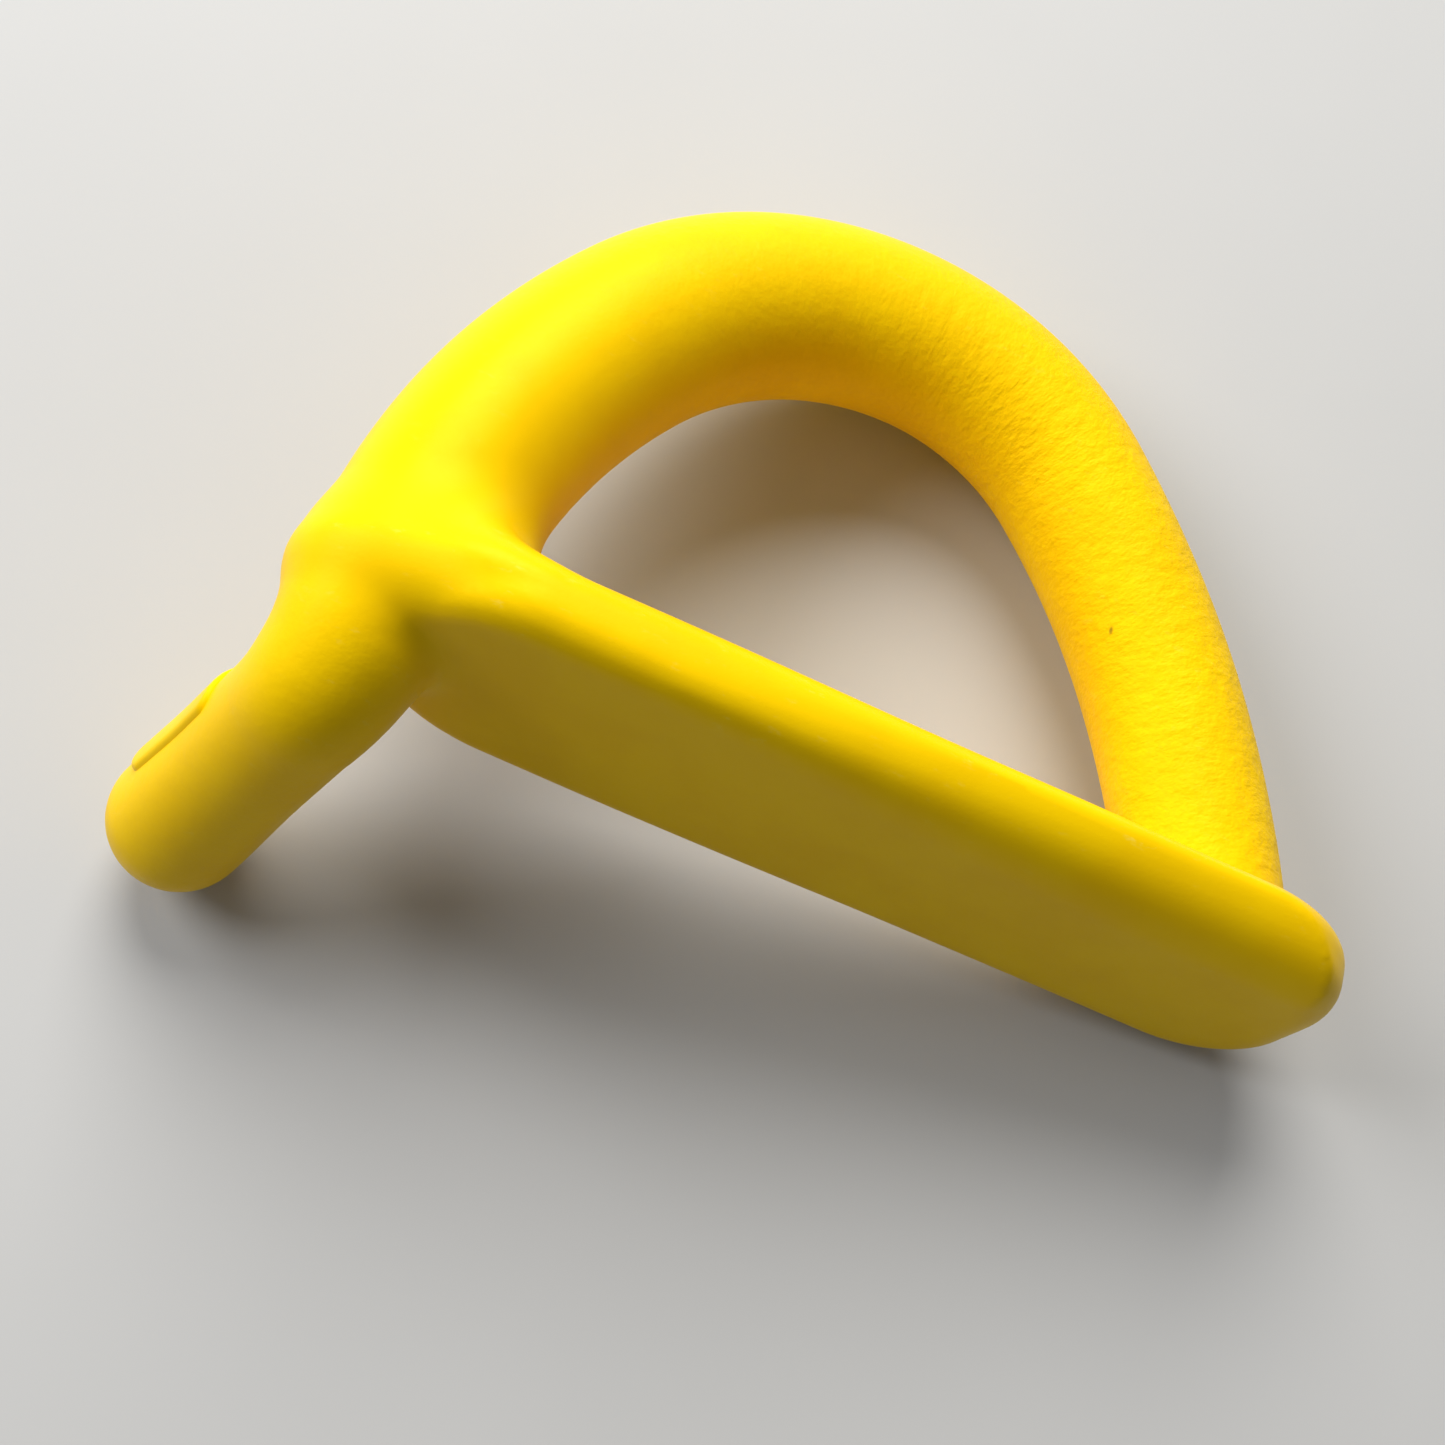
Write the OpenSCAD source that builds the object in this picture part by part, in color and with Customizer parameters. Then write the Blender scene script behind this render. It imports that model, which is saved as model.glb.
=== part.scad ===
// D-shaped hand grip with a flat cross bar and a curled leg, moulded over a welded steel insert.
// The design frame has the bar along X, the hoop standing up along Z and the leg curling towards +Y.
// Every piece is then laid down together, so that the grip rests on its leg, bar and hoop.

/* [Bar] */
// Distance from the middle of the hoop's left foot to the right end of the bar
bar_reach = 136; // [120:1:165]
// Width of the bar across its flat face
bar_w = 42; // [36:1:52]
// Thickness of the bar
bar_t = 11; // [9:0.5:15]
// Radius of the bar's long edges
bar_edge_r = 4.5; // [2:0.25:4.5]
// Corner radius of the bar's right end, seen on its flat face
bar_end_r = 17; // [10:0.5:17]
// Length over which the bar widens from the left shoulder
bar_taper_l = 27; // [20:1:35]

// Angle at which the flat face turns up towards the left shoulder, clear of the leg
nose_rise = 7; // [4:0.5:8]

/* [Hoop] */
// Diameter of the hoop at its left foot, where it is thickest
left_foot_d = 27; // [22:0.5:29]
// Diameter of the hoop at its right foot, where it is thinnest
right_foot_d = 23; // [20:0.5:26]
// Height of the hoop's middle line above the bar's flat face
hoop_h = 81.5; // [70:0.5:100]
// Distance from the middle of the right foot to the right end of the bar
foot_inset = 18; // [15:0.5:22]
// How far the crown stands off the middle of the two feet
crown_shift = -5; // [-8:0.5:0]
// Angle at which the left foot meets the bar
left_lean = 90; // [86:1:94]
// Angle at which the right foot meets the bar
right_lean = 73.5; // [70:0.5:80]
// Turn of the tight crown bend on the left side
left_crown_turn = 57; // [52:1:60]
// Turn of the tight crown bend on the right side
right_crown_turn = 45; // [42:1:50]

/* [Leg] */
// Diameter of the leg
leg_d = 20; // [17:0.5:22]
// Diameter of the leg's round tip
tip_d = 21; // [18:0.5:24]
// Radius of the bend below the shoulder
leg_bend_r = 14; // [13:0.5:18]
// Turn of that bend, from straight down towards the back
leg_turn = 77; // [65:1:85]
// How far the leg swings out past the bar's left end
leg_swing = 22; // [10:1:30]
// Straight length of the leg up to the middle of its round tip
leg_l = 34; // [32:1:45]

/* [Blank pad] */
// Length of the raised blank pad along the leg
pad_l = 22; // [14:1:24]
// Width of the pad, measured straight across
pad_w = 12; // [8:1:14]
// Height of the pad above the leg
pad_h = 0.7; // [0.5:0.1:1.2]
// Distance of the pad's far end from the middle of the round tip
pad_gap = 5; // [5:0.5:8]
// Turn of the pad around the leg, from the swing side towards the bar
pad_turn = 28; // [0:1:60]

/* [Steel insert] */
// Diameter of the bent steel rod
rod_d = 10; // [8:0.5:12]
// Width of the steel strip in the bar
strip_w = 26; // [22:1:28]
// Thickness of the steel strip
strip_t = 4; // [3:0.5:5]
// Cover between the strip's right end and the bar's end
strip_cover = 8; // [6:0.5:10]
// Diameter of the holes that key the moulding to the strip
key_hole_d = 8; // [5:0.5:9]
// Spacing of those holes
key_hole_pitch = 25; // [20:1:26]
// Height and width of the weld beads
weld_leg = 2.5; // [1.5:0.25:3]
// Depth of the keying grooves in the rod's leg
groove_depth = 1; // [0.5:0.25:1.5]

/* [Hidden] */
$fn = 64;
key_holes = 4;
key_grooves = 3;
groove_w = 2;
groove_pitch = 8;
weld_lip = 0.5;
nose_lap = 0.5;
nose_cover = 5;
leg_clear = 1.5;
settle_steps = 12;
overcut = 1;

// Where two runs of a round bar meet, each stops joint_gap short and a ball joins them,
// which stands joint_lap proud; pass_lap is the same for the rod's straight pass through the strip
joint_gap = 0.3;
joint_lap = 0.12;
pass_lap = 0.3;

hoop_d = [left_foot_d, (2 * left_foot_d + right_foot_d) / 3,
          (left_foot_d + 2 * right_foot_d) / 3, right_foot_d];
skin_r = hoop_d / 2;
rod_r = rod_d / 2;
rod_rs = [rod_r, rod_r, rod_r, rod_r];
leg_r = leg_d / 2;
tip_r = tip_d / 2;
nose_r = skin_r[0] + nose_lap;
bar_end = bar_reach / 2;
strip_low = (bar_t - strip_t) / 2;
strip_top = strip_low + strip_t;

// Feet, crown and the two bends on each side of the crown
left_foot = -bar_end;
right_foot = bar_end - foot_inset;
wide_x = left_foot + bar_taper_l;
crown_x = (left_foot + right_foot) / 2 + crown_shift;
rise = hoop_h - bar_t;
left_r = side_radii(crown_x - left_foot, rise, left_crown_turn, left_lean);
right_r = side_radii(right_foot - crown_x, rise, right_crown_turn, right_lean);

// Radii of the crown bend and of the flank bend that together span a side of the hoop
function side_radii(span, rise, turn, lean) =
    let (a = sin(turn),
         b = sin(lean) - sin(turn),
         c = 1 - cos(turn),
         d = cos(turn) - cos(lean))
    [(d * span - b * rise) / (a * d - b * c), (a * rise - c * span) / (a * d - b * c)];

// Leg: a bend from the foot, then a straight run to the round tip
down = [0, 0, -1];
leg_out = [-sin(leg_swing), cos(leg_swing), 0];
leg_top = [left_foot, 0, strip_low];
leg_dir = cos(leg_turn) * down + sin(leg_turn) * leg_out;
leg_start = leg_top + leg_bend_r * (sin(leg_turn) * down + (1 - cos(leg_turn)) * leg_out);
leg_tip = leg_start + leg_l * leg_dir;

// Lowest points of the three places that the grip rests on, for an up direction n
function unit(v) = v / norm(v);
function low_leg(n) = leg_tip - tip_r * n;
function low_bar(n) =
    [bar_end - bar_end_r, bar_w / 2 - bar_end_r, bar_t / 2]
    - (bar_end_r - bar_edge_r) * unit([n.x, n.y, 0])
    - (bar_t / 2 - bar_edge_r) * [0, 0, sign(n.z)]
    - bar_edge_r * n;
function low_hoop(n) =
    [crown_x, 0, hoop_h - right_r[0]] - right_r[0] * unit([n.x, 0, n.z]) - skin_r[2] * n;
function plane_up(a, b, c) =
    let (n = unit(cross(b - a, c - a)))
    n.y > 0 ? -n : n;
function settled(n, steps) =
    steps == 0 ? n : settled(plane_up(low_leg(n), low_bar(n), low_hoop(n)), steps - 1);
first_up = unit([-1, -5, -1]);
up = settled(first_up, settle_steps);
lay_x = atan2(up.y, up.z);
lay_y = -atan2(up.x, norm([up.y, up.z]));

module laid_down() {
    rotate([lay_x, lay_y, 0]) children();
}

// A bend of a round bar: it starts at the origin along +Z and curves towards +X
module bend(bend_r, turn, tube_r) {
    gap_turn = joint_gap / bend_r * 180 / PI;
    translate([bend_r, 0, 0])
        rotate([90, 0, 0])
            rotate([0, 0, 180 - turn + gap_turn])
                rotate_extrude(angle = turn - 2 * gap_turn)
                    translate([bend_r, 0])
                        circle(r = tube_r);
}

// Moves to the far end of such a bend
module after_bend(bend_r, turn) {
    translate([bend_r * (1 - cos(turn)), 0, bend_r * sin(turn)])
        rotate([0, turn, 0])
            children();
}

// Ball that joins two runs of a round bar where they meet
module joint_ball(r1, r2) {
    sphere(r = max(r1, r2) + joint_lap);
}

// One side of the hoop, from the crown down to its foot and on by foot_l into the bar
module hoop_side(radii, turn, lean, crown_r, flank_r, foot_l) {
    rotate([0, 90, 0]) {
        bend(radii[0], turn, crown_r);
        after_bend(radii[0], turn) {
            joint_ball(crown_r, flank_r);
            bend(radii[1], lean - turn + foot_l / radii[1] * 180 / PI, flank_r);
        }
    }
}

// The hoop as a round bar; tube_r lists its radii from the left foot to the right foot
module hoop_bar(tube_r, foot_l) {
    translate([crown_x, 0, hoop_h]) {
        rotate([0, 0, 180])
            hoop_side(left_r, left_crown_turn, left_lean, tube_r[1], tube_r[0], foot_l);
        joint_ball(tube_r[1], tube_r[2]);
        hoop_side(right_r, right_crown_turn, right_lean, tube_r[2], tube_r[3], foot_l);
    }
}

// Turns +Z down and +X outwards, at the top of the leg
module at_leg_top() {
    translate(leg_top)
        rotate([0, 0, 90 + leg_swing])
            rotate([180, 0, 0])
                children();
}

// The start of the leg's straight run, which goes along +Z
module along_leg() {
    at_leg_top() after_bend(leg_bend_r, leg_turn) children();
}

module leg_bar(tube_r) {
    at_leg_top() bend(leg_bend_r, leg_turn, tube_r);
    along_leg() {
        joint_ball(tube_r, tube_r);
        translate([0, 0, joint_gap]) cylinder(r = tube_r, h = leg_l - joint_gap);
    }
}

module rounded_rect(w, h, r) {
    square([w - 2 * r, h], center = true);
    square([w, h - 2 * r], center = true);
    for (x = [-1, 1], y = [-1, 1])
        translate([x * (w / 2 - r), y * (h / 2 - r)]) circle(r = r);
}

// Two circles on the X axis and the tangents between them
module taper_plan(x1, r1, x2, r2) {
    slope = asin((r2 - r1) / (x2 - x1));
    translate([x1, 0]) circle(r = r1);
    translate([x2, 0]) circle(r = r2);
    polygon([[x1 - r1 * sin(slope), -r1 * cos(slope)],
             [x2 - r2 * sin(slope), -r2 * cos(slope)],
             [x2 - r2 * sin(slope), r2 * cos(slope)],
             [x1 - r1 * sin(slope), r1 * cos(slope)]]);
}

// Outline of the bar on its flat face
module bar_plan() {
    half_w = bar_w / 2;
    taper_plan(left_foot, nose_r, wide_x, half_w);
    translate([wide_x, -half_w]) square([bar_end - bar_end_r - wide_x, bar_w]);
    translate([wide_x, bar_end_r - half_w]) square([bar_end - wide_x, bar_w - 2 * bar_end_r]);
    for (y = [-1, 1])
        translate([bar_end - bar_end_r, y * (half_w - bar_end_r)]) circle(r = bar_end_r);
}

// The wedge below the flat face that is left open round the leg
module nose_relief() {
    translate([left_foot + leg_r + leg_clear, 0, 0])
        rotate([0, nose_rise, 0])
            translate([-bar_reach, -bar_w, -bar_t])
                cube([bar_reach, 2 * bar_w, bar_t]);
}

// The bar before its left end is relieved, with rounded long edges and a rounded right end
module bar_blank() {
    side_l = 2 * bar_reach;
    intersection() {
        linear_extrude(bar_t) bar_plan();
        translate([-side_l / 2, 0, bar_t / 2])
            rotate([90, 0, 90])
                linear_extrude(side_l) rounded_rect(bar_w, bar_t, bar_edge_r);
        translate([bar_end - side_l / 2, bar_w, bar_t / 2])
            rotate([90, 0, 0])
                linear_extrude(2 * bar_w) rounded_rect(side_l, bar_t, bar_edge_r);
    }
}

module bar_outside() {
    difference() {
        bar_blank();
        nose_relief();
    }
}

// The bent rod: it passes through the strip on the left and stands on it on the right
module rod_outside() {
    difference() {
        union() {
            hoop_bar(rod_rs, bar_t / 2);
            translate([left_foot, 0, strip_low - overcut])
                cylinder(r = rod_r + pass_lap, h = bar_t - strip_low + 2 * overcut);
            leg_bar(rod_r);
        }
        translate([right_foot - rod_d, -rod_d, strip_top - rod_d])
            cube([2 * rod_d, 2 * rod_d, rod_d]);
    }
}

module groove_rings() {
    along_leg()
        for (i = [1 : key_grooves])
            translate([0, 0, i * groove_pitch])
                difference() {
                    cylinder(r = rod_r + groove_depth, h = groove_w);
                    translate([0, 0, -overcut])
                        cylinder(r = rod_r - groove_depth, h = groove_w + 2 * overcut);
                }
}

module rod_solid() {
    difference() {
        rod_outside();
        groove_rings();
    }
}

module strip_solid() {
    strip_end = bar_end - strip_cover;
    difference() {
        translate([0, 0, strip_low])
            linear_extrude(strip_t) {
                taper_plan(left_foot, nose_r - nose_cover, wide_x, strip_w / 2);
                translate([wide_x, -strip_w / 2]) square([strip_end - wide_x, strip_w]);
            }
        translate([left_foot, 0, strip_low - overcut])
            cylinder(r = rod_r + pass_lap, h = strip_t + 2 * overcut);
        for (i = [1 : key_holes])
            translate([left_foot + key_hole_pitch * i, 0, strip_low - overcut])
                cylinder(r = key_hole_d / 2, h = strip_t + 2 * overcut);
    }
}

// A weld bead round the foot of the rod, on the strip's upper face
module weld_bead(x) {
    translate([x, 0, strip_top])
        cylinder(r1 = rod_r + weld_leg, r2 = rod_r + weld_lip, h = weld_leg);
}

module insert_solid() {
    rod_solid();
    strip_solid();
    weld_bead(left_foot);
    weld_bead(right_foot);
}

module pad_solid() {
    along_leg()
        translate([0, 0, leg_l - pad_gap - pad_l])
            rotate([0, 0, pad_turn - 90])
                intersection() {
                    difference() {
                        cylinder(r = leg_r + pad_h, h = pad_l);
                        translate([0, 0, -overcut]) cylinder(r = leg_r, h = pad_l + 2 * overcut);
                    }
                    translate([0, -pad_w / 2, 0]) cube([leg_d, pad_w, pad_l]);
                }
}

module hoop_skin() {
    laid_down() color([0.98, 0.85, 0.02])
        difference() {
            hoop_bar(skin_r, bar_t / 2 - overcut);
            bar_outside();
            insert_solid();
        }
}

module bar_skin() {
    laid_down() color([0.95, 0.80, 0.02])
        difference() {
            bar_outside();
            insert_solid();
        }
}

module leg_skin() {
    laid_down() color([0.98, 0.88, 0.05])
        difference() {
            union() {
                leg_bar(leg_r);
                translate(leg_tip) sphere(r = tip_r);
            }
            bar_outside();
            insert_solid();
        }
}

module blank_pad() {
    laid_down() color([0.90, 0.75, 0.02]) pad_solid();
}

module frame_rod() {
    laid_down() color([0.55, 0.57, 0.60]) rod_solid();
}

module bar_strip() {
    laid_down() color([0.48, 0.50, 0.54]) strip_solid();
}

module weld_left() {
    laid_down() color([0.40, 0.38, 0.36])
        difference() {
            weld_bead(left_foot);
            rod_outside();
        }
}

module weld_right() {
    laid_down() color([0.40, 0.38, 0.36])
        difference() {
            weld_bead(right_foot);
            rod_outside();
        }
}

hoop_skin();
bar_skin();
leg_skin();
blank_pad();
frame_rod();
bar_strip();
weld_left();
weld_right();
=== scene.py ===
"""Looks for a yellow D-shaped hand grip: its moulded skin, the blank pad and the steel insert."""

import math

import bpy
import numpy as np
from bpy.props import FloatProperty, FloatVectorProperty, PointerProperty
from mathutils import Matrix, Vector


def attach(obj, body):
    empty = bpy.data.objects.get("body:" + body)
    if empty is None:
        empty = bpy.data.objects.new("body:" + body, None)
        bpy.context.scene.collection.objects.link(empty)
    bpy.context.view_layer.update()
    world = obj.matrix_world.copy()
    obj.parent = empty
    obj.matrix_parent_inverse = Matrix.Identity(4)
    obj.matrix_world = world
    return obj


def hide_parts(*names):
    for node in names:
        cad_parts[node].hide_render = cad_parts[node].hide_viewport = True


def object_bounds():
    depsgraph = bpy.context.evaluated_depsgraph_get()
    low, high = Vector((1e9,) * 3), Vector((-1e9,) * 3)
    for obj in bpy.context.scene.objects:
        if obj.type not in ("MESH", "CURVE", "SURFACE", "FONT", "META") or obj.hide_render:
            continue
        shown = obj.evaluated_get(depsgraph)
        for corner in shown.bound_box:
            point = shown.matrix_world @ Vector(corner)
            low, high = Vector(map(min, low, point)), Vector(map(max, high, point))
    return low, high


bl_info = {
    "name": "D-shaped hand grip",
    "version": (1, 0, 0),
    "blender": (4, 5, 0),
    "location": "View3D > Sidebar > Hand grip",
    "description": "Builds the moulded skin, pad and steel insert of a D-shaped hand grip",
    "category": "Add Mesh",
}

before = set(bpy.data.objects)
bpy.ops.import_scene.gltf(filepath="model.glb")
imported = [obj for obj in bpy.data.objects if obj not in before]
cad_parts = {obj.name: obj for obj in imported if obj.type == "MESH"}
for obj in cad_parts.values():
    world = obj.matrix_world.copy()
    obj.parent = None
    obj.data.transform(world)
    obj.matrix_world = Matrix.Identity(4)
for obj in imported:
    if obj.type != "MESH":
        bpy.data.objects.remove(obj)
CAD_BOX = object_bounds()


def length(name, description, default):
    """A size in metres that the sidebar shows as a length."""
    return FloatProperty(
        name=name, description=description, default=default, subtype="DISTANCE", unit="LENGTH", precision=5
    )


def angle(name, description, degrees):
    """An angle that the sidebar shows in degrees."""
    return FloatProperty(
        name=name, description=description, default=math.radians(degrees), subtype="ANGLE", unit="ROTATION"
    )


def colour(name, description, default):
    """A colour that the sidebar shows as a swatch."""
    return FloatVectorProperty(
        name=name, description=description, default=default, subtype="COLOR", size=3, min=0, max=1
    )


class GripSizes(bpy.types.PropertyGroup):
    """Sizes of the moulded skin, as it stands upright on its bar."""

    bar_left: length("Left foot", "Place of the hoop's left foot along the bar, from its middle", -0.0675)
    bar_right: length("Bar end", "Place of the bar's right end, from its middle", 0.068)
    bar_width: length("Bar width", "Width of the bar across its flat face", 0.042)
    bar_thickness: length("Bar thickness", "Thickness of the bar", 0.011)
    bar_edge: length("Bar edge radius", "Radius of the bar's long edges", 0.0046)
    bar_corner: length("Bar front corner", "Corner radius of the bar's right end on the front edge", 0.0185)
    back_corner: length("Bar back corner", "Corner radius of the bar's right end on the back edge", 0.0155)
    bar_taper: length("Bar taper", "Length over which the bar widens from the left shoulder", 0.018)
    back_bow: FloatProperty(
        name="Back bow", description="Share by which the back edge stands out on the left and in on the right",
        default=0.03, subtype="FACTOR",
    )
    nose: length("Nose radius", "Radius of the bar's left end", 0.0098)
    right_foot: length("Right foot", "Place of the hoop's right foot along the bar", 0.050)
    crown_place: length("Crown place", "Place of the hoop's crown along the bar", -0.014)
    crown_height: length("Crown height", "Height of the hoop's middle line above the flat face", 0.0815)
    left_lean: angle("Left lean", "Angle at which the left foot meets the bar", 90)
    right_lean: angle("Right lean", "Angle at which the right foot meets the bar", 73.5)
    left_turn: angle("Left crown turn", "Turn of the tight crown bend on the left", 57)
    right_turn: angle("Right crown turn", "Turn of the tight crown bend on the right", 45)
    shoulder_radius: length("Shoulder radius", "Radius of the hoop at its left foot", 0.0134)
    left_radius: length("Left radius", "Radius of the hoop half way up its left side", 0.0138)
    crown_radius: length("Crown radius", "Radius of the hoop at its crown", 0.0123)
    right_radius: length("Right radius", "Radius of the hoop on its right side", 0.0112)
    leg_offset: length("Leg offset", "How far the leg stands out past the hoop's left foot", 0.0022)
    leg_bend: length("Leg bend", "Radius of the bend below the shoulder", 0.014)
    leg_turn: angle("Leg turn", "Turn of that bend towards the back", 74)
    leg_swing: angle("Leg swing", "How far the leg swings out past the bar", 18.5)
    leg_length: length("Leg length", "Straight length of the leg to the middle of its tip", 0.0345)
    root_radius: length("Root radius", "Radius of the leg where it leaves the shoulder", 0.0119)
    bend_radius: length("Bend radius", "Thickness of the leg, as a radius, half way round its bend", 0.0104)
    neck_radius: length("Neck radius", "Radius of the leg at its neck", 0.0096)
    tip_radius: length("Tip radius", "Radius of the leg's round tip", 0.0102)
    left_fillet: length(
        "Left fillet", "Reach of the fillet between the bar and the inner side of the hoop's left foot", 0.016
    )
    shoulder_fillet: length("Shoulder fillet", "Reach of the fillet on the outer side of the left foot", 0.011)
    right_fillet: length("Right fillet", "Reach of the fillet between the bar and the right foot", 0.003)
    leg_fillet: length("Leg fillet", "Reach of the fillet between the bar and the leg", 0.004)
    edge_small: length("Front edge blend, left", "Rounding of the flat face's front edge at the left", 0.005)
    edge_large: length("Front edge blend, right", "Rounding of the flat face's front edge at the right", 0.014)
    roll: angle("Roll", "Turn about the bar that lays the grip down", -103.46)
    pitch: angle("Pitch", "Turn that brings the bar's right end up or down", 9.985)
    skin_step: length("Skin step", "Spacing of the skin's mesh", 0.0009)
    pad_length: length("Pad length", "Length of the blank pad along the leg", 0.022)
    pad_width: length("Pad width", "Width of the blank pad", 0.012)
    pad_height: length("Pad height", "Height of the blank pad above the leg", 0.0007)
    pad_gap: length("Pad gap", "From the pad's far end to the middle of the round tip", 0.005)
    pad_turn: angle("Pad turn", "Turn of the pad around the leg", 28)
    pad_step: length("Pad step", "Spacing of the pad's mesh", 0.0003)


class GripColours(bpy.types.PropertyGroup):
    """Colours of the grip and of the floor it lies on."""

    yellow: colour("Yellow", "Main colour of the moulded skin", (0.95, 0.605, 0.001))
    # Deep yellow goes into random cloudy patches and, as painted shade, into the hollows of the hoop's fine grain
    yellow_deep: colour("Deep yellow", "Colour of the skin's thin and rubbed places", (0.86, 0.50, 0.001))
    dirt: colour("Dirt", "Colour of small nicks with dirt in them", (0.10, 0.06, 0.01))
    steel: colour("Steel", "Colour of the rod and strip", (0.55, 0.56, 0.58))
    weld: colour("Weld", "Colour of the weld beads", (0.40, 0.39, 0.38))
    floor: colour("Floor", "Colour of the floor", (0.52, 0.515, 0.505))


# ---------------------------------------------------------------- shape of the skin

# Where the hoop's radius is given, as shares of its length: left foot, left side, crown, right side, right foot
HOOP_STOPS = (0, 0.27, 0.52, 0.80, 1)
# How deep the hoop's ends reach into the bar, as shares of its thickness: left, right
HOOP_DEPTH_LEFT, HOOP_DEPTH_RIGHT = 0.9, 0.55
HOOP_END_ROUNDING = 0.007
# Height above the flat face at which the leg starts to bend
LEG_RISE = 0.0057
# The leg's top end, inside the shoulder, is a little thinner than its root
LEG_TOP_SHARE = 0.92
# The leg has its bend radius this far into the bend, and its neck radius between these places past the bend
BEND_PAST, NECK_START, NECK_END = 0.010, 0.003, 0.014
SHOULDER_BLEND = 0.003
# Length and height of the skin's slow waviness
WAVE_LENGTH, WAVE_HEIGHT = 0.011, 0.00005
# The pad's corner and edge radii, how deep it sinks into the leg, and how strong its grain is
PAD_CORNER, PAD_EDGE, PAD_SINK, PAD_GRAIN = 0.0025, 0.0006, 0.0005, 0.25
# The heights above the leg's middle line between which the pad is searched for, and the margin round it
PAD_LOW, PAD_HIGH, PAD_MARGIN = 0.004, 0.014, 0.002
# Box, round the upright grip, that is searched for the skin
SKIN_BOX = ((-0.103, -0.026, -0.033), (0.072, 0.056, 0.099))

class Run:
    """One stretch of a round bar's middle line: a bend towards normal, or a straight where bend is 0."""

    def __init__(self, start, heading, normal, reach, bend=0.0):
        self.start = np.array(start, float)
        self.heading = np.array(heading, float)
        self.normal = np.array(normal, float)
        self.side = np.cross(self.heading, self.normal)
        self.reach = reach
        self.bend = bend

    def end(self):
        """Start, heading and normal of whatever follows this run."""
        if not self.bend:
            return self.start + self.reach * self.heading, self.heading, self.normal
        turn = self.reach / self.bend
        sin, cos = math.sin(turn), math.cos(turn)
        place = self.start + self.bend * (sin * self.heading + (1 - cos) * self.normal)
        return place, cos * self.heading + sin * self.normal, cos * self.normal - sin * self.heading

    def nearest(self, points):
        """Distance to the middle line, how far along it, and the two offsets across it."""
        local = points - self.start
        a, b, c = local @ self.heading, local @ self.normal, local @ self.side
        if not self.bend:
            along = np.clip(a, 0, self.reach)
            return np.sqrt((a - along) ** 2 + b**2 + c**2), along, b, c
        turn = np.clip(np.arctan2(a, self.bend - b), 0, self.reach / self.bend)
        across = (self.bend - b) * np.cos(turn) + a * np.sin(turn)
        slip = a * np.cos(turn) - (self.bend - b) * np.sin(turn)
        inward = self.bend - across
        return np.sqrt(inward**2 + slip**2 + c**2), turn * self.bend, inward, c


def chain(start, heading, normal, stretches):
    """Runs that follow on from each other; each stretch is (length, bend radius)."""
    runs = []
    for reach, bend in stretches:
        runs.append(Run(start, heading, normal, reach, bend))
        start, heading, normal = runs[-1].end()
    return runs


def smooth_stops(x, stops, values):
    """A curve through the stops that never overshoots them."""
    stops, values = np.array(stops, float), np.array(values, float)
    step = np.diff(values) / np.diff(stops)
    slope = np.zeros(len(stops))
    inner = step[:-1] * step[1:] > 0
    slope[1:-1][inner] = 2 * step[:-1][inner] * step[1:][inner] / (step[:-1] + step[1:])[inner]
    x = np.clip(x, stops[0], stops[-1])
    i = np.clip(np.searchsorted(stops, x) - 1, 0, len(stops) - 2)
    h = stops[i + 1] - stops[i]
    t = (x - stops[i]) / h
    return (
        (2 * t**3 - 3 * t**2 + 1) * values[i]
        + (t**3 - 2 * t**2 + t) * h * slope[i]
        + (3 * t**2 - 2 * t**3) * values[i + 1]
        + (t**3 - t**2) * h * slope[i + 1]
    )


def side_radii(span, rise, turn, lean):
    """Radii of the crown bend and the flank bend that together make one side of the hoop."""
    a, b = math.sin(turn), math.sin(lean) - math.sin(turn)
    c, d = 1 - math.cos(turn), math.cos(turn) - math.cos(lean)
    return (d * span - b * rise) / (a * d - b * c), (a * rise - c * span) / (a * d - b * c)


def blend_union(a, b, reach):
    """The nearer of two surfaces, with a fillet where they meet."""
    near = np.maximum(reach - np.abs(a - b), 0) / reach
    return np.minimum(a, b) - near**2 * reach / 4


def rounded_corner(a, b, radius):
    """Distance to the rounded corner of two square faces, from the distances to both faces."""
    a, b = a + radius, b + radius
    return np.minimum(np.maximum(a, b), 0) + np.hypot(np.maximum(a, 0), np.maximum(b, 0)) - radius


def ease(x, low, high):
    """0 below low, 1 above high and smooth between them."""
    t = np.clip((x - low) / (high - low), 0, 1)
    return t * t * (3 - 2 * t)


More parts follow.
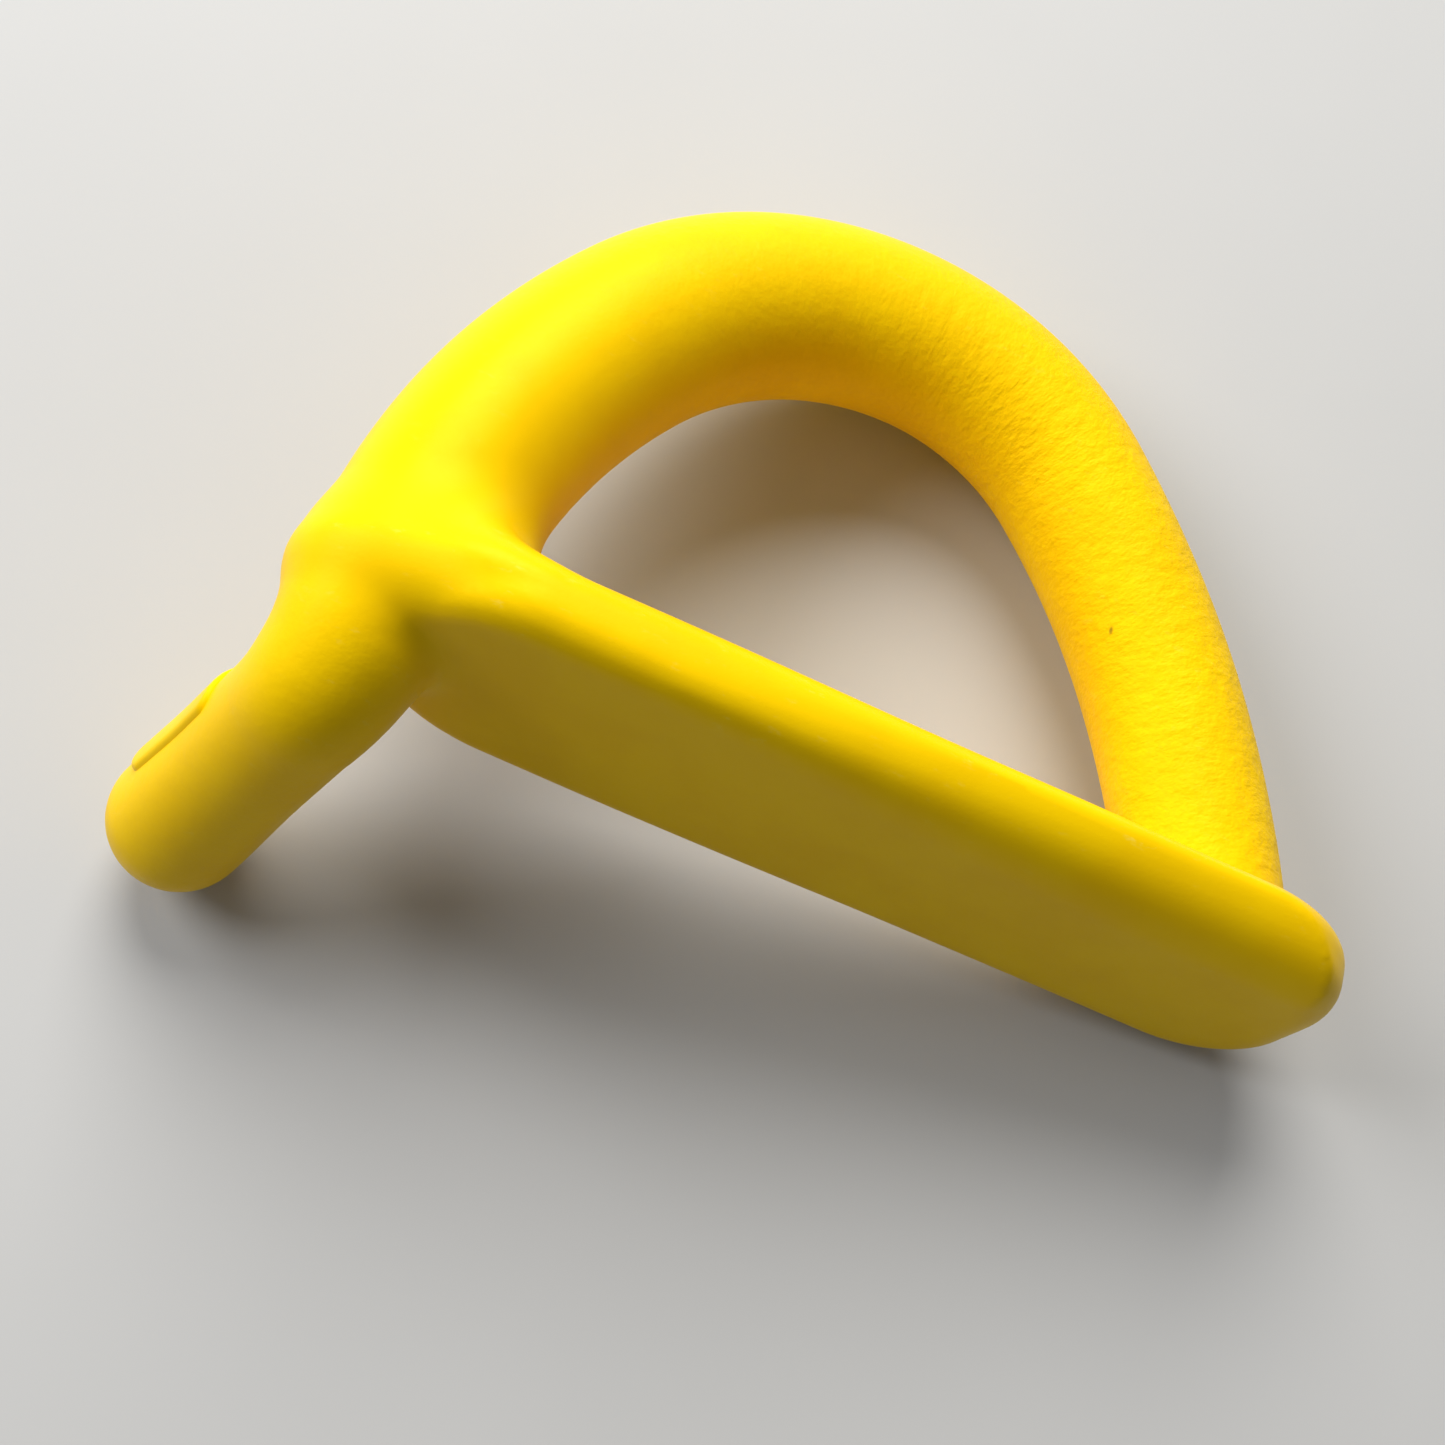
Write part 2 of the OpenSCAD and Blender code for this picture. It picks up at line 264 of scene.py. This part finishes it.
class SkinShape:
    """The grip's outer surface in its upright position, as a distance that is negative inside."""

    def __init__(self, sizes):
        s = self.sizes = sizes
        rise = s.crown_height - s.bar_thickness
        crown_l, flank_l = side_radii(s.crown_place - s.bar_left, rise, s.left_turn, s.left_lean)
        crown_r, flank_r = side_radii(s.right_foot - s.crown_place, rise, s.right_turn, s.right_lean)
        lean = s.left_lean
        self.hoop = chain(
            (s.bar_left, 0, s.bar_thickness),
            (math.cos(lean), 0, math.sin(lean)),
            (math.sin(lean), 0, -math.cos(lean)),
            [
                (flank_l * (lean - s.left_turn), flank_l),
                (crown_l * s.left_turn, crown_l),
                (crown_r * s.right_turn, crown_r),
                (flank_r * (s.right_lean - s.right_turn), flank_r),
                (s.bar_thickness / 2, 0),
            ],
        )
        self.hoop_length = sum(run.reach for run in self.hoop)
        drop = self.drop = s.bar_thickness - LEG_RISE
        out = (-math.sin(s.leg_swing), math.cos(s.leg_swing), 0)
        self.leg = chain(
            (s.bar_left - s.leg_offset, 0, s.bar_thickness),
            (0, 0, -1),
            out,
            [(drop, 0), (s.leg_bend * s.leg_turn, s.leg_bend), (s.leg_length, 0)],
        )
        self.neck = drop + s.leg_bend * s.leg_turn
        self.leg_reach = self.neck + s.leg_length

    def round_bar(self, points, runs, stops, radii):
        """Distance to a round bar of changing radius, with the place along it and across it."""
        best, place, done = None, None, 0.0
        for run in runs:
            gap, along, inward, across = run.nearest(points)
            gap = gap - smooth_stops(along + done, stops, radii)
            here = np.stack([along + done, inward, across], 1)
            if best is None:
                best, place = gap, here
            else:
                nearer = gap < best
                best = np.where(nearer, gap, best)
                place = np.where(nearer[:, None], here, place)
            done += run.reach
        return best, place

    def hoop_gap(self, points):
        """Distance to the hoop, whose ends stop inside the bar, and the places along it."""
        s = self.sizes
        stops = [share * self.hoop_length for share in HOOP_STOPS]
        radii = [s.shoulder_radius, s.left_radius, s.crown_radius, s.right_radius, s.right_radius]
        gap, place = self.round_bar(points, self.hoop, stops, radii)
        depth = np.where(points[:, 0] < 0, HOOP_DEPTH_LEFT, HOOP_DEPTH_RIGHT)
        stop = (1 - depth) * s.bar_thickness - points[:, 2]
        return -blend_union(-gap, -stop, HOOP_END_ROUNDING), place

    def leg_gap(self, points):
        """Distance to the leg, and the places along it."""
        s = self.sizes
        neck = self.neck
        stops = [0, self.drop, self.drop + BEND_PAST, neck + NECK_START, neck + NECK_END, self.leg_reach]
        top = LEG_TOP_SHARE * s.root_radius
        radii = [top, s.root_radius, s.bend_radius, s.neck_radius, s.neck_radius, s.tip_radius]
        return self.round_bar(points, self.leg, stops, radii)

    def bar_gap(self, points):
        """Distance to the flat cross bar, tapered at its left end and softer along its front edge."""
        s = self.sizes
        x, z = points[:, 0], points[:, 2]
        back = 1 + s.back_bow * (1 - 2 * ease(x, -0.035, 0.050))
        y = np.where(points[:, 1] > 0, points[:, 1] / back, -points[:, 1])
        half = s.bar_width / 2
        wide = s.bar_left + s.bar_taper
        slope = (half - s.nose) / s.bar_taper
        flat = math.sqrt(1 - slope * slope)
        reach = flat * (x - s.bar_left) + slope * y
        taper = np.where(
            reach < 0,
            np.hypot(x - s.bar_left, y) - s.nose,
            np.where(
                reach > flat * s.bar_taper,
                np.hypot(x - wide, y) - half,
                flat * y - slope * (x - s.bar_left) - s.nose,
            ),
        )
        corner = np.where(points[:, 1] > 0, s.back_corner, s.bar_corner)
        left = wide - corner
        past_ends = np.abs(x - (left + s.bar_right) / 2) - (s.bar_right - left) / 2
        outline = np.minimum(taper, rounded_corner(past_ends, y - half, corner))
        past_faces = np.abs(z - s.bar_thickness / 2) - s.bar_thickness / 2
        slab = rounded_corner(outline, past_faces, s.bar_edge)
        right = ease(x, -0.045, 0.050) * ease(-points[:, 1], -0.002, 0.014)
        round_over = s.edge_small + right * (s.edge_large - s.edge_small)
        return np.maximum(slab, -blend_union(half + points[:, 1], z, round_over))

    def gap(self, points):
        """Distance to the whole skin."""
        s = self.sizes
        hoop, _ = self.hoop_gap(points)
        leg, _ = self.leg_gap(points)
        bar = self.bar_gap(points)
        x, z = points[:, 0], points[:, 2]
        left = 1 - ease(x, -0.030, 0.020)
        outer = 1 - ease(x, s.bar_left - 0.004, s.bar_left + 0.010)
        above = ease(z, -0.001, 0.008)
        foot = s.left_fillet + outer * (s.shoulder_fillet - s.left_fillet)
        reach = s.right_fillet + above * left * (foot - s.right_fillet)
        reach = reach + (1 - above) * outer * (s.leg_fillet - s.right_fillet)
        return blend_union(blend_union(hoop, leg, SHOULDER_BLEND), bar, reach) + self.unevenness(points)

    def unevenness(self, points):
        """The slow waviness of a hand-finished moulding."""
        x, y, z = (points / WAVE_LENGTH).T
        wave = np.sin(x + 1.3 * np.sin(y)) * np.sin(1.1 * y + 0.7) + np.sin(0.9 * z + 1.7 * np.sin(0.8 * x))
        return WAVE_HEIGHT * wave

    def lay_down(self):
        """Turns the upright grip into the position it lies in."""
        roll = Matrix.Rotation(self.sizes.roll, 3, "X")
        pitch = Matrix.Rotation(self.sizes.pitch, 3, "Y")
        return np.array(pitch @ roll)


def net(low, high, step, gap):
    """A closed quad mesh of the surface where gap is zero, inside the given box."""
    low, high = np.array(low, float), np.array(high, float)
    counts = np.ceil((high - low) / step).astype(int) + 1
    axes = [low[i] + step * np.arange(counts[i]) for i in range(3)]
    values = np.empty(counts)
    yz = np.stack(np.meshgrid(axes[1], axes[2], indexing="ij"), -1).reshape(-1, 2)
    for i, x in enumerate(axes[0]):
        slab = np.column_stack([np.full(len(yz), x), yz])
        values[i] = gap(slab).reshape(counts[1:])
    inside = values < 0
    cells = np.array(counts) - 1
    total = np.zeros((*cells, 3))
    crossings = np.zeros(cells)
    corners = [(a, b, c) for a in (0, 1) for b in (0, 1) for c in (0, 1)]

    def corner(array, at):
        return array[at[0] : at[0] + cells[0], at[1] : at[1] + cells[1], at[2] : at[2] + cells[2]]

    for at in corners:
        for axis in range(3):
            if at[axis]:
                continue
            to = tuple(1 if k == axis else at[k] for k in range(3))
            va, vb = corner(values, at), corner(values, to)
            crossed = corner(inside, at) != corner(inside, to)
            share = np.where(crossed, va / np.where(crossed, va - vb, 1), 0)
            crossings += crossed
            for k in range(3):
                total[..., k] += crossed * (at[k] + (share if k == axis else 0))
    used = crossings > 0
    number = np.full(tuple(cells), -1)
    number[used] = np.arange(used.sum())
    index = np.argwhere(used)
    points = low + step * (index + total[used] / crossings[used][:, None])
    quads = []
    for axis in range(3):
        u, v = (axis + 1) % 3, (axis + 2) % 3
        before = np.take(inside, range(counts[axis] - 1), axis)
        after = np.take(inside, range(1, counts[axis]), axis)
        first = np.argwhere(before != after)
        ok = (first[:, u] > 0) & (first[:, v] > 0) & (first[:, u] < cells[u]) & (first[:, v] < cells[v])
        first = first[ok]
        ring = []
        for du, dv in ((-1, -1), (0, -1), (0, 0), (-1, 0)):
            at = first.copy()
            at[:, u] += du
            at[:, v] += dv
            ring.append(number[tuple(at.T)])
        ring = np.stack(ring, 1)
        flip = ~inside[tuple(first.T)]
        ring[flip] = ring[flip][:, ::-1]
        quads.append(ring)
    if not len(points):
        raise RuntimeError("no surface was found in its box, so a size must be far off")
    return points, np.vstack(quads)


def settle(points, gap, rounds=3):
    """Moves the points onto the surface where gap is zero, and gives the outward directions too."""
    small = 0.00002
    normal = np.zeros_like(points)
    for _ in range(rounds):
        here = gap(points)
        for k in range(3):
            moved = points.copy()
            moved[:, k] += small
            normal[:, k] = (gap(moved) - here) / small
        size = np.maximum((normal**2).sum(1), 0.05)
        points = points - normal * (here / size)[:, None]
    return points, normal / np.linalg.norm(normal, axis=1)[:, None]


def ridge_amount(points, quads, normal):
    """How sharply the surface turns outwards at each point, from 0 on a flat or hollow place."""
    total, count = np.zeros_like(points), np.zeros(len(points))
    for k in range(4):
        np.add.at(total, quads[:, k], points[quads[:, (k + 1) % 4]])
        np.add.at(count, quads[:, k], 1)
    lift = ((points - total / count[:, None]) * normal).sum(1)
    for _ in range(3):
        spread = np.zeros(len(points))
        for k in range(4):
            np.add.at(spread, quads[:, k], lift[quads[:, (k + 1) % 4]])
        lift = 0.5 * lift + 0.5 * spread / count
    sharpest = np.quantile(lift, 0.98)
    return np.clip(lift / sharpest, 0, 1)


def mesh_object(name, points, quads, attributes=()):
    """A smooth-shaded object with the given point attributes."""
    mesh = bpy.data.meshes.new(name)
    mesh.vertices.add(len(points))
    mesh.vertices.foreach_set("co", points.astype(np.float32).ravel())
    mesh.loops.add(quads.size)
    mesh.loops.foreach_set("vertex_index", quads.astype(np.int32).ravel())
    mesh.polygons.add(len(quads))
    mesh.polygons.foreach_set("loop_start", np.arange(0, quads.size, 4, dtype=np.int32))
    mesh.update(calc_edges=True)
    mesh.validate()
    mesh.shade_smooth()
    for label, values in attributes:
        vector = values.ndim == 2
        attribute = mesh.attributes.new(label, "FLOAT_VECTOR" if vector else "FLOAT", "POINT")
        attribute.data.foreach_set("vector" if vector else "value", values.astype(np.float32).ravel())
    made = bpy.data.objects.new(name, mesh)
    bpy.context.scene.collection.objects.link(made)
    return made


# ---------------------------------------------------------------- materials

# Small spots on the skin: place on the grip as it lies, size, and whether it is a dirty nick or a pale spot painted
# as a glint
NICK_AND_GLINT_SPOTS = (((0.0233, 0.0442, -0.0078), 0.0005, True), ((-0.0762, 0.0103, 0.0093), 0.0006, False))
# Near-white colour painted as a small glint on the skin
PAINTED_GLINT = (0.95, 0.90, 0.70)
# Pale lemon yellow painted as a highlight, in patches, along the sharpest outward edges
HIGHLIGHT_YELLOW = (0.96, 0.78, 0.14)
YELLOW_SHEEN = (1.0, 0.86, 0.14, 1)
HEAT_BLUE = (0.22, 0.23, 0.30)


class Finish:
    """A new node material, with short ways to add and join its nodes."""

    def __init__(self, name):
        self.material = bpy.data.materials.new(name)
        self.material.use_nodes = True
        self.tree = self.material.node_tree
        self.shader = self.tree.nodes["Principled BSDF"]

    def join(self, source, target):
        if isinstance(source, bpy.types.NodeSocket):
            self.tree.links.new(source, target)
        else:
            target.default_value = source

    def node(self, kind, inputs=(), **settings):
        made = self.tree.nodes.new(kind)
        for key, value in settings.items():
            setattr(made, key, value)
        for key, value in dict(inputs).items():
            self.join(value, made.inputs[key])
        return made

    def place(self):
        return self.node("ShaderNodeTexCoord").outputs["Object"]

    def attribute(self, name):
        return self.node("ShaderNodeAttribute", attribute_name=name)

    def stretched(self, vector, scale):
        return self.node("ShaderNodeMapping", {"Vector": vector, "Scale": scale}).outputs["Vector"]

    def away(self, vector, spot, scale):
        """Distance from a spot, with each axis stretched."""
        way = self.node("ShaderNodeVectorMath", {0: vector, 1: spot}, operation="SUBTRACT").outputs["Vector"]
        far = self.node("ShaderNodeVectorMath", {0: self.stretched(way, scale)}, operation="LENGTH")
        return far.outputs["Value"]

    def noise(self, vector, scale, detail=3.0, roughness=0.5):
        values = {"Vector": vector, "Scale": scale, "Detail": detail, "Roughness": roughness}
        return self.node("ShaderNodeTexNoise", values).outputs["Fac"]

    def maths(self, operation, a, b):
        return self.node("ShaderNodeMath", {0: a, 1: b}, operation=operation).outputs[0]

    def spread(self, value, low, high, to_low=0.0, to_high=1.0):
        values = {"Value": value, "From Min": low, "From Max": high, "To Min": to_low, "To Max": to_high}
        return self.node("ShaderNodeMapRange", values, interpolation_type="SMOOTHSTEP").outputs["Result"]

    def mix(self, share, a, b):
        made = self.node("ShaderNodeMix", data_type="RGBA")
        self.join(share, made.inputs[0])
        for socket, value in ((made.inputs[6], a), (made.inputs[7], b)):
            self.join(value if isinstance(value, bpy.types.NodeSocket) else (*value, 1), socket)
        return made.outputs[2]

    def bump(self, height, distance, strength, under=None):
        values = {"Height": height, "Distance": distance, "Strength": strength}
        if under is not None:
            values["Normal"] = under
        return self.node("ShaderNodeBump", values).outputs["Normal"]

    def shade(self, **sockets):
        for key, value in sockets.items():
            name = key.replace("_", " ")
            if not isinstance(value, bpy.types.NodeSocket) and name == "Base Color":
                value = (*value, 1)
            self.join(value, self.shader.inputs[name])
        return self.material


def yellow_skin(colours, name="yellow skin"):
    """Moulded yellow plastic with a leathery grain on the hoop and a smoother bar."""
    f = Finish(name)
    place = f.place()
    grain = f.attribute("grain").outputs["Fac"]
    ridge = f.attribute("ridge").outputs["Fac"]
    straight = f.attribute("straight").outputs["Vector"]

    peel = f.noise(place, 1500.0, 4.0, 0.55)
    pebble = f.noise(place, 480.0, 2.0, 0.5)
    wrinkle = f.noise(f.stretched(straight, (1.0, 0.55, 0.55)), 560.0, 3.0, 0.6)
    cloud = f.noise(place, 55.0, 3.0, 0.55)
    drift = f.noise(place, 18.0, 2.0, 0.5)
    highlight_patches = f.spread(f.noise(f.stretched(place, (1.0, 2.5, 1.0)), 260.0, 4.0, 0.7), 0.60, 0.74)

    # Deep yellow in random cloudy patches, and on the grained hoop as painted shade in the hollows of the fine grain
    tone = f.spread(cloud, 0.35, 0.70, 0.0, 0.45)
    tone = f.maths("ADD", tone, f.maths("MULTIPLY", f.spread(peel, 0.30, 0.62, 0.35, 0.0), grain))
    body = f.mix(tone, tuple(colours.yellow), tuple(colours.yellow_deep))
    # Painted highlight: paler yellow in patches on the sharpest outward edges
    painted_highlight = f.maths("MULTIPLY", f.maths("MULTIPLY", ridge, highlight_patches), 0.25)
    body = f.mix(painted_highlight, body, HIGHLIGHT_YELLOW)
    # A dark dirty nick, and a pale spot painted as a glint
    for spot, size, dirty in NICK_AND_GLINT_SPOTS:
        spot_colour = tuple(colours.dirt) if dirty else PAINTED_GLINT
        body = f.mix(f.spread(f.away(place, spot, (1.0, 0.45, 1.0)), size * 0.3, size, 0.75, 0.0), body, spot_colour)

    rough = f.maths("ADD", f.spread(drift, 0.3, 0.7, 0.34, 0.42), f.maths("MULTIPLY", grain, 0.13))
    rough = f.maths("ADD", rough, f.maths("MULTIPLY", f.spread(peel, 0.4, 0.7), 0.05))

    fine = f.bump(peel, 0.00008, f.maths("ADD", f.maths("MULTIPLY", grain, 0.55), 0.16))
    coarse = f.bump(pebble, 0.00026, f.maths("MULTIPLY", grain, 0.60), fine)
    folds = f.bump(wrinkle, 0.00042, f.maths("MULTIPLY", f.maths("MULTIPLY", grain, grain), 0.75), coarse)
    return f.shade(
        Base_Color=body, Roughness=rough, Normal=folds, IOR=1.48, Specular_IOR_Level=0.15, Specular_Tint=YELLOW_SHEEN
    )


def steel(name, tint, grain_scale, dark):
    """Plain drawn steel with a faint grain and patches of mill scale."""
    f = Finish(name)
    place = f.place()
    scale = f.noise(place, 140.0, 5.0, 0.6)
    lines = f.noise(f.stretched(place, (0.08, 1.0, 1.0)), grain_scale, 3.0, 0.6)
    body = f.mix(f.spread(scale, 0.40, 0.65), tuple(tint), tuple(dark * value for value in tint))
    normal = f.bump(lines, 0.00004, 0.5)
    rough = f.spread(scale, 0.3, 0.7, 0.32, 0.55)
    return f.shade(Base_Color=body, Roughness=rough, Normal=normal, Metallic=1.0)


def weld_metal(tint):
    """A rippled bead, darkened and slightly blued by heat."""
    f = Finish("weld bead")
    place = f.place()
    ripple = f.noise(place, 480.0, 3.0, 0.6)
    heat = f.noise(place, 210.0, 2.0, 0.5)
    body = f.mix(f.spread(heat, 0.42, 0.62), tuple(tint), HEAT_BLUE)
    return f.shade(
        Base_Color=body, Roughness=f.spread(ripple, 0.3, 0.7, 0.35, 0.60), Normal=f.bump(ripple, 0.00025, 0.8),
        Metallic=1.0,
    )


def floor_finish(tint):
    """A plain pale matte floor."""
    f = Finish("pale floor")
    tone = f.spread(f.noise(f.place(), 9.0, 4.0, 0.5), 0.3, 0.7)
    return f.shade(Base_Color=f.mix(tone, tuple(tint), tuple(0.97 * value for value in tint)), Roughness=0.7)


# ---------------------------------------------------------------- floor, light and camera

FLOOR_REACH = 3.0
SKY, SKY_STRENGTH = (0.93, 0.96, 1.0, 1), 0.17
# Each soft window: name, place, width across, power in watts and tint
WINDOWS = (
    ("far window", (-0.30, 0.95, 0.85), 0.9, 21.0, (1.0, 0.99, 0.96)),
    ("left window", (-0.95, 0.15, 0.70), 0.7, 9.0, (0.97, 0.98, 1.0)),
)
# The camera looks almost straight down: place in metres, turns in degrees, lens in millimetres
CAMERA_PLACE = (-0.01388, -0.05291, 0.24964)
CAMERA_TURN = (13.805, -3.358, 21.066)
CAMERA_LENS = 48.26


# ---------------------------------------------------------------- operators


class GRIP_OT_skin(bpy.types.Operator):
    """Build the one-piece moulded skin: hoop, cross bar and leg run into each other"""

    bl_idname = "grip.skin"
    bl_label = "Moulded skin"

    def execute(self, context):
        sizes = context.scene.grip_sizes
        shape = SkinShape(sizes)
        points, quads = net(*SKIN_BOX, sizes.skin_step, shape.gap)
        points, normal = settle(points, shape.gap)
        hoop, hoop_place = shape.hoop_gap(points)
        leg, leg_place = shape.leg_gap(points)
        bar = shape.bar_gap(points)
        on_hoop = hoop < leg
        straight = np.where(on_hoop[:, None], hoop_place, leg_place * (-1, 1, 1))
        # The grain grows from the left foot to the crown and on to the right side, and fades at the bar
        along = hoop_place[:, 0] / shape.hoop_length
        grain = ease(along, 0.10, 0.34) * (0.55 + 0.45 * ease(along, 0.40, 0.62))
        grain = grain * ease(bar - hoop, 0.000, 0.006) * on_hoop
        grain = np.maximum(grain, 0.30 * ease(bar - leg, 0.000, 0.006) * ~on_hoop)
        ridge = ridge_amount(points, quads, normal)
        points = points @ shape.lay_down().T
        skin = mesh_object(
            "moulded_skin", points, quads, (("straight", straight), ("grain", grain), ("ridge", ridge))
        )
        skin.data.materials.append(yellow_skin(context.scene.grip_colours))
        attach(skin, "root")
        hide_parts("hoop_skin", "bar_skin", "leg_skin")
        return {"FINISHED"}


class GRIP_OT_pad(bpy.types.Operator):
    """Build the blank pad that stands a little proud of the leg"""

    bl_idname = "grip.pad"
    bl_label = "Blank pad"

    def execute(self, context):
        s = context.scene.grip_sizes
        shape = SkinShape(s)
        straight = shape.leg[-1]
        out = math.sin(s.pad_turn) * straight.normal - math.cos(s.pad_turn) * straight.side
        side = np.cross(straight.heading, out)
        middle = straight.start + (s.leg_length - s.pad_gap - s.pad_length / 2) * straight.heading
        turned = np.stack([straight.heading, side, out], 1)

        def gap(local):
            points = middle + local @ turned.T
            skin = shape.gap(points)
            past_ends = np.abs(local[:, 0]) - s.pad_length / 2
            plan = rounded_corner(past_ends, np.abs(local[:, 1]) - s.pad_width / 2, PAD_CORNER)
            top = -blend_union(s.pad_height - skin, -plan, PAD_EDGE)
            return np.maximum(top, -(skin + PAD_SINK))

        half = np.array([s.pad_length / 2 + PAD_MARGIN, s.pad_width / 2 + PAD_MARGIN])
        points, quads = net((*-half, PAD_LOW), (*half, PAD_HIGH), s.pad_step, gap)
        points, _ = settle(points, gap, 2)
        points = (middle + points @ turned.T) @ shape.lay_down().T
        even = np.full(len(points), PAD_GRAIN)
        pad = mesh_object(
            "blank_pad_skin", points, quads, (("straight", points), ("grain", even), ("ridge", 0 * even))
        )
        pad.data.materials.append(yellow_skin(context.scene.grip_colours, "yellow pad"))
        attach(pad, "root")
        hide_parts("blank_pad")
        return {"FINISHED"}


class GRIP_OT_insert(bpy.types.Operator):
    """Give the bent rod, the strip and the weld beads inside the skin their steel finishes"""

    bl_idname = "grip.insert"
    bl_label = "Steel insert"

    def execute(self, context):
        colours = context.scene.grip_colours
        finishes = {
            "frame_rod": steel("rod steel", colours.steel, 1800.0, 0.62),
            "bar_strip": steel("strip steel", colours.steel, 1300.0, 0.70),
            "weld_left": weld_metal(colours.weld),
            "weld_right": weld_metal(colours.weld),
        }
        for name, material in finishes.items():
            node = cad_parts[name]
            node.data.materials.clear()
            node.data.materials.append(material)
        return {"FINISHED"}


class GRIP_OT_studio(bpy.types.Operator):
    """Set up the pale floor, the soft light and the camera"""

    bl_idname = "grip.studio"
    bl_label = "Floor, light and camera"

    def execute(self, context):
        collection = context.scene.collection
        low = CAD_BOX[0].z
        mesh = bpy.data.meshes.new("floor")
        corners = [(FLOOR_REACH * x, FLOOR_REACH * y, low) for x, y in ((-1, -1), (1, -1), (1, 1), (-1, 1))]
        mesh.from_pydata(corners, [], [(0, 1, 2, 3)])
        mesh.materials.append(floor_finish(context.scene.grip_colours.floor))
        floor = bpy.data.objects.new("floor", mesh)
        collection.objects.link(floor)

        context.scene.view_settings.view_transform = "Standard"
        world = bpy.data.worlds.new("overcast")
        context.scene.world = world
        world.use_nodes = True
        world.node_tree.nodes["Background"].inputs["Color"].default_value = SKY
        world.node_tree.nodes["Background"].inputs["Strength"].default_value = SKY_STRENGTH
        for name, place, size, power, tint in WINDOWS:
            lamp = bpy.data.lights.new(name, "AREA")
            lamp.shape = "DISK"
            lamp.size = size
            lamp.energy = power
            lamp.color = tint
            light = bpy.data.objects.new(name, lamp)
            light.location = place
            light.rotation_euler = (-Vector(place)).to_track_quat("-Z", "Y").to_euler()
            collection.objects.link(light)

        camera = bpy.data.objects.new("camera", bpy.data.cameras.new("camera"))
        camera.location = CAMERA_PLACE
        camera.rotation_euler = [math.radians(degrees) for degrees in CAMERA_TURN]
        camera.data.sensor_width = 36.0
        camera.data.lens = CAMERA_LENS
        camera.data.clip_start = 0.01
        collection.objects.link(camera)
        context.scene.camera = camera
        return {"FINISHED"}


class GRIP_PT_panel(bpy.types.Panel):
    """Sizes, colours and build buttons of the hand grip"""

    bl_idname = "GRIP_PT_panel"
    bl_label = "Hand grip"
    bl_space_type = "VIEW_3D"
    bl_region_type = "UI"
    bl_category = "Hand grip"

    def draw(self, context):
        layout = self.layout
        for operator in OPERATORS:
            layout.operator(operator.bl_idname)
        for title, group in (("Sizes", context.scene.grip_sizes), ("Colours", context.scene.grip_colours)):
            box = layout.box()
            box.label(text=title)
            for key in group.__annotations__:
                box.prop(group, key)


OPERATORS = (GRIP_OT_skin, GRIP_OT_pad, GRIP_OT_insert, GRIP_OT_studio)
CLASSES = (GripSizes, GripColours, *OPERATORS, GRIP_PT_panel)


def register():
    for made in CLASSES:
        bpy.utils.register_class(made)
    bpy.types.Scene.grip_sizes = PointerProperty(type=GripSizes)
    bpy.types.Scene.grip_colours = PointerProperty(type=GripColours)


def unregister():
    del bpy.types.Scene.grip_colours
    del bpy.types.Scene.grip_sizes
    for made in reversed(CLASSES):
        bpy.utils.unregister_class(made)


def main():
    register()
    bpy.ops.grip.skin()
    bpy.ops.grip.pad()
    bpy.ops.grip.insert()
    bpy.ops.grip.studio()


if __name__ == "__main__":
    main()
